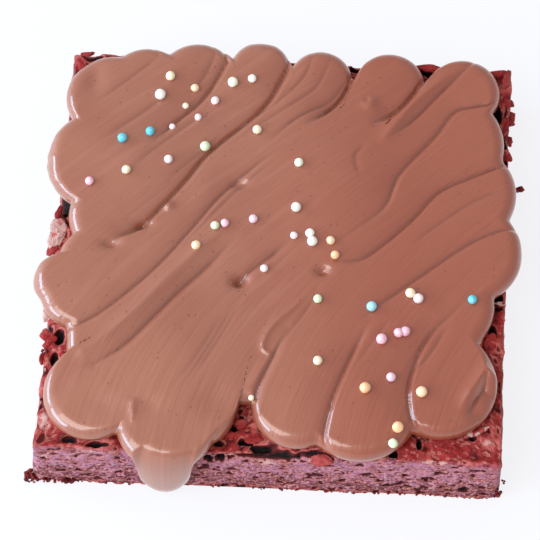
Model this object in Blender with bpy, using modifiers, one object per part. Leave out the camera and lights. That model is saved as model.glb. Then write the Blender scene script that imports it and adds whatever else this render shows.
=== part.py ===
"""A square-cut chocolate brownie under a thick layer of swirled milk-chocolate icing.

Two solids: the cake block, cut a little out of square and wider at its foot, and the icing, whose
rim is a row of round lobes, with one tongue that has run down the front face. Lengths are in
millimetres here, and to_object turns them into metres. The origin is the middle of the underside.
"""

import math

import bmesh
import bpy
import numpy as np

METRES = 0.001

# The cake block.
CAKE_WIDTH = 74.0
CAKE_DEPTH = 70.8
CAKE_HEIGHT = 13.8
SKEW = 0.03  # how far the sides lean to the right for each millimetre towards the back
FOOT_FLARE = 0.9  # how far each side stands out at the foot
SIDE_WOBBLE = 0.3
CUT_EDGE = 0.8
CAKE_CUTS = 15

# The icing.
GAP = 0.3
UNDERSIDE = CAKE_HEIGHT + GAP
CROWN = 17.4  # height of the icing's top between the folds
RIM_WIDTH = 2.4
RIM_TUCK = 1.0
RIM_MIDDLE = 0.42  # where the rim bulges furthest, as a share of its height
SAG = 1.6  # how far a rim that overhangs the side droops
SAG_STARTS, SAG_FULL = 1.9, 2.8  # overhang at which the droop starts, and at which it is full
GRID_SIDES = 46
GRID_HALF_X = 37.0
GRID_HALF_Y = 36.0
RIM_ANGLES = (65, 35, 5, -35, -70)
MERGE = 0.35  # how softly the lobes run into each other
SIDE_CLEARANCE = SIDE_WOBBLE + GAP + 0.1
LIP = 0.3  # least width of the rim's lower edge
HIDDEN_STEP = 0.2
HIDDEN_SHARE = 0.5  # the last ring under the icing lies this share of the way out

# The crown's slow roll: its height and the lengths of its waves along the two diagonals.
ROLL, ROLL_ALONG, ROLL_ACROSS = 0.35, 9.0, 13.0
FOLD_POWER = 1.5  # 1 makes each valley a pointed V, and 2 a rounded one

# Round lobes along the icing's edge, clockwise from the back left: x, y, radius.
LOBES = (
    (-29.3, 26.3, 7.6),
    (-23.6, 29.3, 6.5),
    (-14.9, 30.2, 7.0),
    (-4.5, 32.7, 5.2),
    (5.7, 31.1, 5.4),
    (17.4, 30.7, 5.9),
    (29.8, 29.8, 6.0),
    (26.0, 20.1, 10.5),
    (29.0, 11.2, 9.5),
    (30.4, 0.5, 9.0),
    (26.1, -9.0, 8.8),
    (26.0, -22.7, 9.3),
    (13.4, -26.5, 9.7),
    (3.5, -27.2, 7.3),
    (-12.9, -28.1, 6.9),
    (-17.1, -30.9, 8.1),
    (-29.2, -26.7, 7.7),
    (-32.8, -9.9, 5.6),
    (-35.7, -7.3, 4.3),
    (-31.1, -3.4, 5.0),
    (-29.0, 4.4, 6.0),
    (-30.2, 14.5, 9.1),
)
CORE_LEFT, CORE_RIGHT, CORE_FRONT, CORE_BACK = 34.0, 32.9, 27.4, 31.8
CORE_POWER = 8

# The tongue of icing on the front face.
TONGUE_X = -17.6
TONGUE_HALF_WIDTH = 6.0
TONGUE_POWER = 1.8  # how square the tongue's lower end is
TONGUE_LENGTH = 10.8
TONGUE_RIM = 1.1  # how much wider the rim is there
TONGUE_MIDDLE = 0.25
TONGUE_STARTS, TONGUE_FULL = 2.4, 3.1  # overhang at which the tongue starts, and at which it is full

# Valleys between the strokes of icing: depth, reach to each side, and the route. A ridge has a
# negative depth.
FOLDS = (
    (1.3, 2.2, ((-9.6, 35.5), (-12.5, 29.4), (-18.9, 21.2))),
    (1.7, 2.4, ((0.6, 34.5), (-2.8, 26.4), (-12.4, 16.7), (-20.6, 6.2), (-27.5, -1.2))),
    (1.0, 1.8, ((0.8, 18.7), (-10.0, 8.7), (-21.0, -5.8), (-31.7, -15.4))),
    (1.7, 2.6, ((11.3, 33.5), (8.1, 26.0))),
    (1.4, 2.4, ((23.2, 33.0), (18.9, 26.1), (15.3, 24.1))),
    (1.2, 2.2, ((35.0, 27.4), (28.1, 25.6), (24.5, 20.2), (16.4, 7.0), (8.0, 0.0))),
    (1.1, 2.0, ((36.5, 16.5), (25.7, 10.7), (20.1, 4.1), (9.6, -2.7))),
    (0.9, 2.0, ((37.5, 5.5), (29.1, 0.3), (17.0, -9.4))),
    (1.2, 2.4, ((1.4, 0.5), (-6.4, -6.6))),
    (0.9, 2.2, ((-8.0, 1.0), (-18.5, -8.6), (-32.9, -22.3))),
    (1.2, 2.6, ((-3.0, -16.0), (-5.5, -21.5), (-14.8, -32.0))),
    (1.1, 2.4, ((14.7, -13.0), (9.6, -21.8), (7.4, -33.7))),
    (1.1, 2.4, ((29.1, -9.8), (22.6, -16.1), (20.4, -24.1), (22.4, -31.8))),
    (1.3, 1.6, ((33.6, -22.5), (31.8, -27.5))),
    (-0.9, 1.6, ((34.6, -18.6), (31.6, -23.6), (28.9, -28.4))),
)


def smooth_step(low, high, value):
    share = np.clip((value - low) / (high - low), 0, 1)
    return share * share * (3 - 2 * share)


def side_radius(angle):
    """How far the block's sides stand from the middle at the height of its top, along each angle."""
    across = np.abs(np.cos(angle) - SKEW * np.sin(angle)) / (CAKE_WIDTH / 2)
    along = np.abs(np.sin(angle)) / (CAKE_DEPTH / 2)
    return 1 / np.maximum(across, along)


def side_flare(height):
    return FOOT_FLARE * (1 - height / CAKE_HEIGHT)


def rim_radius(angle):
    """The icing's outline: the furthest of the lobes and the core along each angle, softly merged."""
    cos, sin = np.cos(angle), np.sin(angle)
    core_x = np.where(cos > 0, CORE_RIGHT, CORE_LEFT)
    core_y = np.where(sin > 0, CORE_BACK, CORE_FRONT)
    core = ((np.abs(cos) / core_x) ** CORE_POWER + (np.abs(sin) / core_y) ** CORE_POWER) ** (-1 / CORE_POWER)
    total = np.exp(core / MERGE)
    for x, y, radius in LOBES:
        ahead = x * cos + y * sin
        inside = radius**2 - (y * cos - x * sin) ** 2
        reach = np.where((inside > 0) & (ahead > 0), ahead + np.sqrt(np.maximum(inside, 0)), 0)
        total = total + np.exp(reach / MERGE)
    return MERGE * np.log(total)


def distance_to_route(x, y, route):
    """Distance from each point to the nearest place on a route of straight stretches."""
    nearest = np.full(np.shape(x), np.inf)
    for (ax, ay), (bx, by) in zip(route, route[1:]):
        dx, dy = bx - ax, by - ay
        share = np.clip(((x - ax) * dx + (y - ay) * dy) / (dx * dx + dy * dy), 0, 1)
        nearest = np.minimum(nearest, np.hypot(x - ax - share * dx, y - ay - share * dy))
    return nearest


def icing_height(x, y):
    """Height of the icing's top: a gently rolling crown, less a rounded V along each fold."""
    height = CROWN + ROLL * np.sin((x + y) / ROLL_ALONG) * np.cos((x - y) / ROLL_ACROSS)
    for depth, reach, route in FOLDS:
        height = height - depth * np.exp(-((distance_to_route(x, y, route) / reach) ** FOLD_POWER))
    return height


def tongue_share(angle, radius, overhang):
    """1 down the middle of the tongue on the front face, and 0 away from it."""
    offset = np.abs(radius * np.cos(angle) - TONGUE_X) / TONGUE_HALF_WIDTH
    share = np.where(np.sin(angle) < 0, np.clip(1 - offset**TONGUE_POWER, 0, 1), 0)
    return share * smooth_step(TONGUE_STARTS, TONGUE_FULL, overhang)


def rim_rings(angle):
    """Rings of points from the top's edge, round the rim and across the underside, ending half-way in."""
    radius = rim_radius(angle)
    side = side_radius(angle)
    tongue = tongue_share(angle, radius, radius - side)
    sag = SAG * smooth_step(SAG_STARTS, SAG_FULL, radius - side)
    low = UNDERSIDE - np.maximum(sag, TONGUE_LENGTH * tongue)
    width = RIM_WIDTH + TONGUE_RIM * tongue
    edge = radius - width
    high = icing_height(edge * np.cos(angle), edge * np.sin(angle))
    middle = low + (RIM_MIDDLE + (TONGUE_MIDDLE - RIM_MIDDLE) * tongue) * (high - low)
    rings = [(edge, high)]
    for degrees in RIM_ANGLES:
        turn = math.radians(degrees)
        depth = (width if degrees > 0 else RIM_TUCK) * (1 - math.cos(turn))
        span = high - middle if degrees > 0 else middle - low
        rings.append((radius - depth, middle + span * math.sin(turn)))
    inner = np.minimum(side + side_flare(low) + SIDE_CLEARANCE, radius - RIM_TUCK - LIP)
    rings.append((inner, low))
    rings.append((np.minimum(inner, side + SIDE_CLEARANCE) - HIDDEN_STEP, np.full_like(low, UNDERSIDE)))
    rings.append((inner * HIDDEN_SHARE, np.full_like(low, UNDERSIDE)))
    return rings


def to_object(name, mesh_builder, collection, colour, roughness):
    """A named object with its own material, in metres, from a mesh in millimetres."""
    bmesh.ops.scale(mesh_builder, vec=(METRES,) * 3, verts=mesh_builder.verts)
    bmesh.ops.recalc_face_normals(mesh_builder, faces=mesh_builder.faces)
    mesh = bpy.data.meshes.new(name)
    mesh_builder.to_mesh(mesh)
    mesh_builder.free()
    piece = bpy.data.objects.new(name, mesh)
    collection.objects.link(piece)
    material = bpy.data.materials.new(name)
    material.use_nodes = True
    shader = material.node_tree.nodes["Principled BSDF"]
    shader.inputs["Base Color"].default_value = (*colour, 1)
    shader.inputs["Roughness"].default_value = roughness
    shader.inputs["Metallic"].default_value = 0
    mesh.materials.append(material)
    mesh.shade_smooth()
    mesh.set_sharp_from_angle(angle=math.radians(40))
    return piece


def build_cake(collection):
    """The block: a cube cut into a grid, skewed, flared towards its foot and slightly wavy."""
    block = bmesh.new()
    bmesh.ops.create_cube(block, size=2)
    bmesh.ops.subdivide_edges(block, edges=block.edges[:], cuts=CAKE_CUTS, use_grid_fill=True)
    for vert in block.verts:
        across, along, up = vert.co
        height = CAKE_HEIGHT * (up + 1) / 2
        wave = SIDE_WOBBLE * math.sin(5.2 * across + 3.7 * along + 0.24 * height) * math.sin(2.1 * along - 2.6 * across)
        spread = side_flare(height) + wave
        x = across * (CAKE_WIDTH / 2 + spread)
        y = along * (CAKE_DEPTH / 2 + spread)
        vert.co = (x + SKEW * y, y, height)
    cake = to_object("brownie_cake", block, collection, (0.075, 0.022, 0.016), 0.75)
    bevel = cake.modifiers.new("cut edges", "BEVEL")
    bevel.width = CUT_EDGE * METRES
    bevel.segments = 2
    bevel.limit_method = "ANGLE"
    bevel.angle_limit = math.radians(60)


def build_icing(collection):
    """The icing: a square grid drawn out to the lobed outline, its border extruded round the rim."""
    layer = bmesh.new()
    bmesh.ops.create_grid(layer, x_segments=GRID_SIDES, y_segments=GRID_SIDES, size=1)
    across, along = np.array([vert.co[:2] for vert in layer.verts]).T
    x = GRID_HALF_X * across + SKEW * GRID_HALF_Y * along
    y = GRID_HALF_Y * along
    angle = np.arctan2(y, x)
    out = np.maximum(np.abs(across), np.abs(along))
    outline = rim_rings(angle)[0][0]
    border = np.hypot(x, y) / np.maximum(out, 1e-6)
    stretch = 1 + (outline / np.maximum(border, 1e-6) - 1) * out**2
    x, y = x * stretch, y * stretch
    for vert, place in zip(layer.verts, zip(x, y, icing_height(x, y))):
        vert.co = place

    edges = [edge for edge in layer.edges if edge.is_boundary]
    for ring in range(1, len(RIM_ANGLES) + 4):
        grown = bmesh.ops.extrude_edge_only(layer, edges=edges)["geom"]
        verts = [item for item in grown if isinstance(item, bmesh.types.BMVert)]
        edges = [item for item in grown if isinstance(item, bmesh.types.BMEdge) and item.is_boundary]
        angle = np.array([math.atan2(vert.co.y, vert.co.x) for vert in verts])
        radius, height = rim_rings(angle)[ring]
        for vert, place in zip(verts, zip(radius * np.cos(angle), radius * np.sin(angle), height)):
            vert.co = place
    floor = bmesh.ops.contextual_create(layer, geom=edges)["faces"]
    bmesh.ops.poke(layer, faces=floor)
    to_object("chocolate_icing", layer, collection, (0.40, 0.19, 0.13), 0.4)


def main():
    for item in list(bpy.data.objects):
        bpy.data.objects.remove(item, do_unlink=True)
    collection = bpy.data.collections.new("chocolate_brownie")
    bpy.context.scene.collection.children.link(collection)
    build_cake(collection)
    build_icing(collection)


main()
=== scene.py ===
"""Looks for a square-cut chocolate brownie: the porous crumb with its crackled top crust, the thick
swirled milk-chocolate icing with its lobed rim and its drip, the sugar pearls and the loose crumbs.

Shapes are worked out in millimetres and stored in metres. +Z is up, and the front face looks to -Y.
"""

import math

import bpy
import numpy as np
from bpy.props import FloatProperty, FloatVectorProperty, IntProperty, PointerProperty
from mathutils import Matrix, Vector


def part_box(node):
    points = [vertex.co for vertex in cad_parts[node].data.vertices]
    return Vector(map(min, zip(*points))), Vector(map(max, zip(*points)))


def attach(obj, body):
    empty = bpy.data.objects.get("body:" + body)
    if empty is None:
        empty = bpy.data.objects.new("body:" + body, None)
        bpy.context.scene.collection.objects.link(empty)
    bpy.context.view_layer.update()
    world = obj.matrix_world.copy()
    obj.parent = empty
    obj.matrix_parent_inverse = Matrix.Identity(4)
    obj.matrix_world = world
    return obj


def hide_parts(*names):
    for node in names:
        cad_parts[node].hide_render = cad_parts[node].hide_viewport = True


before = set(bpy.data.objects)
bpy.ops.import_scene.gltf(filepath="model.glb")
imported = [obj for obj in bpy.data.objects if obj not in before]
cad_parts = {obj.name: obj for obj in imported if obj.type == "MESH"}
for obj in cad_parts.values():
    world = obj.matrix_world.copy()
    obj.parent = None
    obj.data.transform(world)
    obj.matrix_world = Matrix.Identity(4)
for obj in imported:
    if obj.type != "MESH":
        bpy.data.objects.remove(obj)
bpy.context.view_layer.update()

bl_info = {
    "name": "Chocolate Brownie",
    "version": (1, 0, 0),
    "blender": (4, 5, 0),
    "location": "3D View > Sidebar > Brownie",
    "description": "Builds the crumb, icing, sugar pearls and crumbs of a chocolate brownie",
    "category": "Object",
}

CAKE_LOW, CAKE_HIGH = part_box("brownie_cake")
ICING_LOW, ICING_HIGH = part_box("chocolate_icing")
MM = 0.001

# The cake block, in millimetres.
CAKE_WIDTH = 74.0
CAKE_DEPTH = 70.8
CAKE_HEIGHT = (CAKE_HIGH[2] - CAKE_LOW[2]) / MM
SKEW = 0.03
FOOT_FLARE = 0.9
SIDE_WOBBLE = 0.3
CORNER_ROUND = 0.45
BLOCK_COLUMNS = 960
TOP_BAND = 9.6

# The icing.
UNDERSIDE = CAKE_HEIGHT - 0.1
CROWN = 17.4
RIM_WIDTH = 2.4
RIM_TUCK = 1.0
RIM_MIDDLE = 0.42
SAG = 1.6
GRID_HALF_X = 37.0
GRID_HALF_Y = 36.0
MERGE = 0.35
SIDE_CLEARANCE = 0.55
SAG_STARTS, SAG_FULL = 1.9, 2.8  # overhang at which the rim starts to droop, and at which it droops fully

# Each valley is a wide soft trough with a narrow cut down its middle and a bead along its steep side.
TROUGH_SHARE, TROUGH_POWER = 0.58, 1.3
CUT_WIDTH = 0.30
BEAD_HEIGHT, BEAD_PLACE, BEAD_WIDTH = 0.13, 1.0, 0.5
# Painted shade down each valley's narrow cut: how wide it is, and how strongly a valley's depth darkens it.
LINE_WIDTH = 0.24
LINE_SHADE = 1.5
STREAK_HEIGHT = 0.042

# Fine wrinkles round the rim at the left.
WRINKLE_ANGLE, WRINKLE_SPREAD, WRINKLE_DEPTH, WRINKLE_COUNT = 2.83, 0.10, 0.13, 95
RIM_ANGLES = tuple(range(80, -81, -10))

# Round lobes along the icing's edge, clockwise from the back left: x, y, radius.
LOBES = (
    (-29.3, 26.3, 7.6),
    (-23.6, 29.3, 6.5),
    (-14.9, 30.2, 7.0),
    (-4.5, 32.7, 5.2),
    (5.7, 31.1, 5.4),
    (17.4, 30.7, 5.9),
    (29.8, 29.8, 6.0),
    (26.0, 20.1, 10.5),
    (29.0, 11.2, 9.5),
    (30.4, 0.5, 9.0),
    (26.1, -9.0, 8.8),
    (26.0, -22.7, 9.3),
    (13.4, -26.5, 9.7),
    (3.5, -27.2, 7.3),
    (-12.9, -28.1, 6.9),
    (-17.1, -30.9, 8.1),
    (-29.2, -26.7, 7.7),
    (-32.8, -9.9, 5.6),
    (-35.7, -7.3, 4.3),
    (-31.1, -3.4, 5.0),
    (-29.0, 4.4, 6.0),
    (-30.2, 14.5, 9.1),
)
CORE_LEFT, CORE_RIGHT, CORE_FRONT, CORE_BACK = 34.0, 32.9, 27.4, 31.8
CORE_POWER = 8

# The tongue of icing on the front face.
TONGUE_X = -17.6
TONGUE_HALF_WIDTH = 6.4
TONGUE_POWER = 2.4  # how square the tongue's lower end is
TONGUE_STARTS, TONGUE_FULL = 2.2, 2.9  # overhang at which the tongue starts, and at which it is full
TONGUE_LENGTH = 10.8
TONGUE_RIM = 0.9
TONGUE_MIDDLE = 0.22
TONGUE_LEAN = 1.1  # how much further the tongue stands out near its tip than at its bend
TONGUE_BEND = 0.55  # under 1 makes the bend over the front edge tighter

# Lines in the icing, each with a depth (a ridge has a negative one), how far it reaches to the left
# and to the right of its route, how strong it is at its start and at its end, and the route's points.
FOLDS = (
    # valleys between the strokes, from the back edge
    (1.4, 0.9, 2.8, 1.0, 0.0, ((-9.4, 36.0), (-11.1, 31.9), (-14.0, 26.5), (-18.9, 21.2), (-23.5, 16.0))),
    (
        1.9, 1.0, 2.8, 1.0, 0.0,
        (
            (0.7, 35.0), (-1.3, 29.9), (-4.4, 24.6), (-12.4, 16.7), (-16.5, 10.6), (-22.6, 3.0), (-26.0, 0.6),
            (-28.6, -1.2),
        ),
    ),
    (2.0, 0.9, 2.8, 1.0, 0.0, ((11.6, 34.0), (10.4, 30.4), (8.1, 26.2), (3.0, 21.5))),
    (1.6, 1.0, 2.6, 1.0, 0.0, ((23.4, 33.5), (21.2, 29.0), (18.2, 25.4), (13.5, 22.0))),
    (
        0.9, 0.8, 1.8, 0.0, 0.9,
        (
            (1.5, 19.4), (-4.8, 13.9), (-10.0, 8.7), (-14.9, 2.0), (-21.0, -5.8), (-28.6, -13.2),
            (-34.5, -16.6),
        ),
    ),
    # valleys from the right edge
    (
        0.9, 0.8, 2.2, 1.0, 0.2,
        ((36.0, 27.5), (31.5, 26.8), (28.1, 25.6), (24.9, 21.0), (19.1, 13.7), (16.4, 7.0), (9.5, 0.9)),
    ),
    (
        1.0, 0.6, 1.8, 1.0, 0.2,
        ((37.5, 16.6), (31.0, 13.6), (25.7, 10.7), (21.5, 5.6), (17.0, 1.0), (12.9, -2.2), (9.0, -2.8)),
    ),
    (
        0.7, 0.6, 1.6, 0.9, 0.0,
        ((38.5, 5.0), (33.5, 3.0), (29.1, 0.3), (22.6, -4.8), (17.0, -9.4), (12.5, -13.6)),
    ),
    # middle and left
    (0.8, 1.2, 0.8, 0.0, 1.0, ((2.4, 1.4), (-2.0, -2.4), (-5.2, -5.2), (-6.8, -7.0))),
    (-0.8, 1.3, 0.9, 0.0, 0.5, ((-8.5, 3.0), (-13.5, -2.0), (-18.5, -7.5), (-25.3, -15.6), (-31.0, -20.4))),
    (0.9, 1.2, 1.4, 0.0, 0.4, ((-6.5, 2.0), (-11.6, -4.0), (-17.0, -9.9), (-24.0, -18.4), (-29.0, -22.4))),
    (1.0, 1.3, 2.0, 0.2, 1.0, ((1.4, -15.0), (-1.0, -20.5), (-3.0, -25.5), (-4.2, -31.0))),
    (-0.5, 1.0, 0.9, 0.0, 0.3, ((2.2, -14.5), (-1.8, -21.0), (-4.2, -26.0))),
    # the front lobes
    (1.1, 0.8, 2.6, 0.1, 1.0, ((14.7, -13.0), (11.6, -19.6), (8.9, -27.0), (7.4, -35.0))),
    (1.0, 0.7, 2.2, 0.1, 1.0, ((30.6, -8.4), (24.0, -15.4), (21.2, -23.1), (21.2, -28.1), (22.8, -32.8))),
    (0.35, 0.5, 0.7, 0.0, 0.0, ((27.8, -12.0), (24.6, -18.0), (21.8, -21.6))),
    # thin strokes
    (0.35, 0.35, 0.5, 0.3, 0.0, ((7.2, 34.4), (5.2, 29.6), (2.2, 26.7), (-4.0, 21.9), (-9.9, 16.8))),
    (0.5, 0.35, 0.7, 0.3, 0.0, ((10.6, 32.0), (7.6, 27.2), (3.9, 24.6), (0.7, 22.1), (-3.8, 17.1))),
    (0.3, 0.3, 0.4, 0.2, 0.0, ((4.4, 35.0), (2.6, 30.6), (-1.5, 26.0), (-5.5, 22.8))),
    (0.7, 0.4, 0.9, 0.4, 0.0, ((31.6, 35.4), (25.6, 28.9), (21.6, 24.2), (16.4, 19.2))),
    (-0.8, 0.9, 1.3, 0.1, 0.0, ((29.0, 34.0), (22.2, 27.6), (18.6, 23.0), (15.2, 18.4))),
    (0.3, 0.3, 0.5, 0.5, 0.0, ((-12.0, 35.4), (-14.0, 30.4), (-17.0, 26.0))),
    (0.3, 0.3, 0.5, 0.3, 0.0, ((-21.0, 34.4), (-26.0, 29.6), (-32.5, 23.6))),
    (0.3, 0.3, 0.4, 0.0, 0.0, ((-19.0, 27.6), (-24.0, 22.8), (-31.0, 17.0))),
    (0.3, 0.3, 0.45, 0.0, 0.0, ((-11.8, 25.4), (-16.5, 20.8), (-21.5, 16.2), (-26.5, 11.0))),
    (0.25, 0.3, 0.4, 0.0, 0.0, ((-9.5, 21.0), (-14.8, 15.4), (-20.0, 10.0))),
    (0.3, 0.3, 0.5, 0.0, 0.0, ((-0.5, 15.6), (-6.5, 10.4), (-13.0, 2.8), (-19.0, -4.6))),
    (0.22, 0.3, 0.4, 0.0, 0.0, ((-5.6, -9.4), (-9.4, -17.4), (-13.8, -25.6))),
    (0.22, 0.3, 0.4, 0.0, 0.0, ((-6.8, -10.4), (-10.6, -18.0), (-15.4, -27.0))),
    (0.18, 0.3, 0.4, 0.0, 0.0, ((-8.4, -11.6), (-12.2, -19.4), (-16.6, -26.4))),
    (
        -0.5, 0.45, 0.45, 0.0, 0.6,
        ((6.5, -7.0), (2.6, -11.0), (-0.2, -13.8), (-1.8, -16.2), (-2.3, -18.4), (-1.3, -19.4)),
    ),
    (0.3, 0.4, 0.5, 0.2, 0.0, ((6.4, -8.0), (4.2, -12.0), (1.0, -16.6), (-1.0, -19.8))),
    (0.3, 0.3, 0.5, 0.2, 0.0, ((37.0, 11.6), (31.5, 9.0), (25.0, 4.0), (21.0, 0.4))),
    (0.22, 0.3, 0.5, 0.0, 0.0, ((18.4, -12.0), (15.4, -16.4), (12.4, -21.4))),
    (0.25, 0.5, 0.7, 0.0, 0.0, ((12.6, 12.0), (11.6, 16.0), (13.6, 19.0))),
    # the lap at the front right corner
    (
        -1.1, 0.9, 0.9, 0.4, 0.0,
        ((35.6, -18.6), (34.4, -19.4), (33.2, -20.8), (31.9, -23.0), (30.3, -25.4), (28.6, -28.0)),
    ),
    (1.1, 0.7, 0.7, 0.0, 0.0, ((35.2, -20.4), (33.9, -22.4), (32.6, -24.6), (31.2, -27.0), (29.7, -29.4))),
    (-0.4, 0.6, 0.6, 0.0, 0.6, ((-22.5, -27.6), (-22.3, -31.6))),
)

# Round hollows in the icing (bumps have a negative depth): x, y, depth, radius across and along.
DIMPLES = (
    (-22.6, 2.5, 0.9, 1.3, 0.8),
    (-27.7, -1.2, 0.8, 1.5, 0.9),
    (-7.1, 10.5, 0.6, 1.4, 0.9),
    (-6.5, -6.8, 1.2, 1.3, 1.1),
    (6.9, -4.7, 0.9, 1.1, 0.8),
    (-32.2, 29.2, 0.5, 1.6, 3.6),
    (13.9, 26.3, -0.6, 1.3, 1.2),
    (13.4, 26.9, 0.4, 0.5, 0.5),
    (-18.7, 5.9, -0.6, 0.9, 0.8),
    (-26.7, -29.4, 0.25, 2.4, 1.8),
    (-19.9, -28.9, 0.25, 1.8, 1.6),
    (-9.0, -27.6, 0.45, 3.4, 3.0),
    (9.0, 13.0, -0.7, 8.5, 9.0),
    (-13.0, 9.0, -0.3, 3.0, 4.0),
    (-33.0, -8.0, -0.4, 5.0, 4.0),
    (-16.0, -22.0, -0.4, 8.0, 5.0),
    (4.0, -26.0, -0.3, 5.0, 6.0),
    (14.0, -27.0, -0.4, 5.0, 6.0),
)

# Rows of points up the side and in over the top, and how the edges between them are rounded.
RISE_ROWS, TOP_ROWS = 48, 31
FOOT_ROUND, EDGE_ROUND, HIDDEN_DROP = 0.22, 0.3, 0.6

# Pores: cell, seed, share of cells filled, extra share low down, radius, strength, strength lost on the
# crust, depth, and how much painted shade each gets.
PORES = (
    (0.85, 11, 0.45, 0.4, 0.34, 1.0, 0.7, 0.35, 0.45),
    (1.8, 23, 0.40, 0.3, 0.55, 1.0, 0.6, 0.65, 0.75),
    (4.2, 37, 0.35, 0.0, 1.0, 0.5, 0.1, 1.0, 0.85),
)
HOLLOW_SHADE = 0.7  # how much the listed hollows darken
LUMP_HEIGHT, GRAIN_HEIGHT = 0.16, 0.10
CRAG_HEIGHT, RIDGE_HEIGHT, CRUST_DROP = 0.42, 0.26, 0.30

# Hollows in the crumb: x, y, z, half width along x, y and z, depth.
HOLLOWS = (
    # the crack under the lifted crust at the front, and the holes beside it
    (-1.4, -35.8, 12.7, 5.2, 2.2, 1.5, 3.4),
    (1.6, -35.8, 12.9, 3.2, 2.2, 1.4, 3.4),
    (6.4, -35.2, 13.8, 3.2, 1.2, 1.1, 2.8),
    (8.8, -35.8, 12.5, 1.0, 1.4, 1.3, 2.0),
    (-10.3, -36.0, 11.0, 0.9, 1.6, 1.5, 2.4),
    (-8.4, -36.0, 11.2, 0.9, 1.6, 1.8, 2.6),
    (-6.8, -36.0, 11.0, 0.4, 1.2, 0.8, 1.2),
    (-2.0, -34.2, 13.8, 1.9, 0.7, 1.5, 2.2),
    (-4.4, -33.2, 13.8, 1.5, 0.6, 1.5, 2.0),
    (-6.4, -31.0, 13.8, 0.9, 0.7, 1.5, 1.5),
    (-5.2, -29.4, 13.8, 0.6, 0.9, 1.5, 1.5),
    (-8.6, -33.6, 13.8, 1.0, 0.6, 1.5, 1.3),
    # under the lobe at the front left
    (-27.8, -34.6, 13.8, 2.2, 0.6, 1.0, 1.5),
    (-32.4, -33.8, 13.8, 1.4, 0.7, 1.0, 1.2),
    (-34.8, -36.0, 12.0, 1.2, 1.2, 0.7, 1.3),
    (-32.4, -36.0, 12.0, 0.6, 1.2, 0.5, 1.1),
    (-30.3, -36.0, 11.2, 0.7, 1.2, 0.6, 1.3),
    (-27.8, -36.0, 11.2, 1.5, 1.2, 0.7, 1.2),
    (-24.6, -36.0, 10.8, 0.6, 1.2, 0.7, 1.2),
    (-36.8, -36.0, 8.6, 0.6, 1.2, 0.6, 0.9),
    # at the front right
    (19.1, -34.2, 13.8, 0.8, 1.0, 1.5, 2.0),
    (23.0, -32.4, 13.8, 0.5, 1.0, 1.5, 1.8),
    (16.8, -35.0, 13.8, 1.4, 0.6, 1.5, 1.2),
    (31.6, -31.0, 13.8, 0.7, 0.7, 1.5, 1.2),
    (11.2, -36.2, 4.6, 0.9, 1.2, 0.9, 1.2),
    (21.3, -36.2, 4.6, 0.8, 1.2, 0.8, 1.1),
    (24.6, -36.2, 3.2, 0.8, 1.2, 0.7, 1.1),
    (27.6, -36.2, 4.0, 0.7, 1.2, 0.7, 1.1),
    (31.0, -36.2, 3.6, 1.0, 1.2, 0.8, 1.2),
    (34.0, -36.2, 4.4, 0.7, 1.2, 0.8, 1.1),
    # along the left edge
    (-36.2, 7.0, 13.8, 1.4, 2.2, 3.0, 3.0),
    (-37.4, 4.7, 13.0, 1.0, 1.0, 2.0, 2.0),
    (-37.2, -15.2, 13.8, 1.0, 0.9, 2.0, 2.2),
    (-35.2, -16.6, 13.8, 1.0, 1.6, 2.0, 1.6),
    (-35.6, -20.6, 13.8, 0.8, 1.8, 2.0, 1.5),
    (-37.8, -11.6, 13.2, 0.7, 0.8, 1.2, 1.3),
    # along the right edge and the back
    (35.4, -6.6, 13.8, 1.2, 1.0, 2.0, 2.0),
    (35.9, -8.4, 13.8, 1.6, 0.4, 1.0, 0.9),
    (34.8, -12.6, 13.8, 0.9, 1.6, 2.0, 1.7),
    (33.6, -17.6, 13.8, 0.8, 1.2, 2.0, 1.8),
    (35.4, 27.0, 13.8, 1.0, 2.2, 2.5, 2.4),
    (36.2, 21.6, 13.8, 1.1, 1.4, 2.5, 2.2),
    (36.6, 17.6, 13.8, 0.8, 1.2, 2.5, 1.8),
    (-33.0, 35.0, 13.8, 2.0, 0.7, 1.2, 1.4),
    (12.0, 34.6, 13.8, 2.0, 0.9, 1.5, 1.8),
    (24.0, 34.8, 13.8, 2.4, 0.8, 1.5, 1.6),
)

# Pale dry places on the crumb: x, y, z, half width along x, y and z, strength.
PALE_PATCHES = (
    (25.2, -35.6, 13.4, 3.8, 1.0, 0.7, 1.0),
    (6.6, -35.8, 12.2, 1.6, 1.0, 1.3, 0.9),
    (-4.6, -29.4, 13.8, 0.9, 0.9, 1.0, 0.8),
    (-1.0, -36.0, 10.8, 3.4, 1.0, 0.8, 0.8),
    (-7.4, -36.0, 12.4, 2.6, 1.0, 0.8, 0.9),
    (-28.0, -35.8, 13.0, 6.0, 1.0, 0.7, 0.6),
    (-36.4, -36.0, 9.4, 1.4, 1.2, 1.0, 0.7),
    (-37.8, -22.6, 13.0, 0.9, 2.4, 1.2, 0.9),
    (-36.4, -31.0, 13.8, 1.4, 2.0, 1.0, 0.7),
    (31.4, -29.8, 13.8, 2.0, 0.5, 1.0, 0.9),
    (34.0, -32.0, 13.8, 1.6, 1.0, 1.0, 0.5),
)

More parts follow.
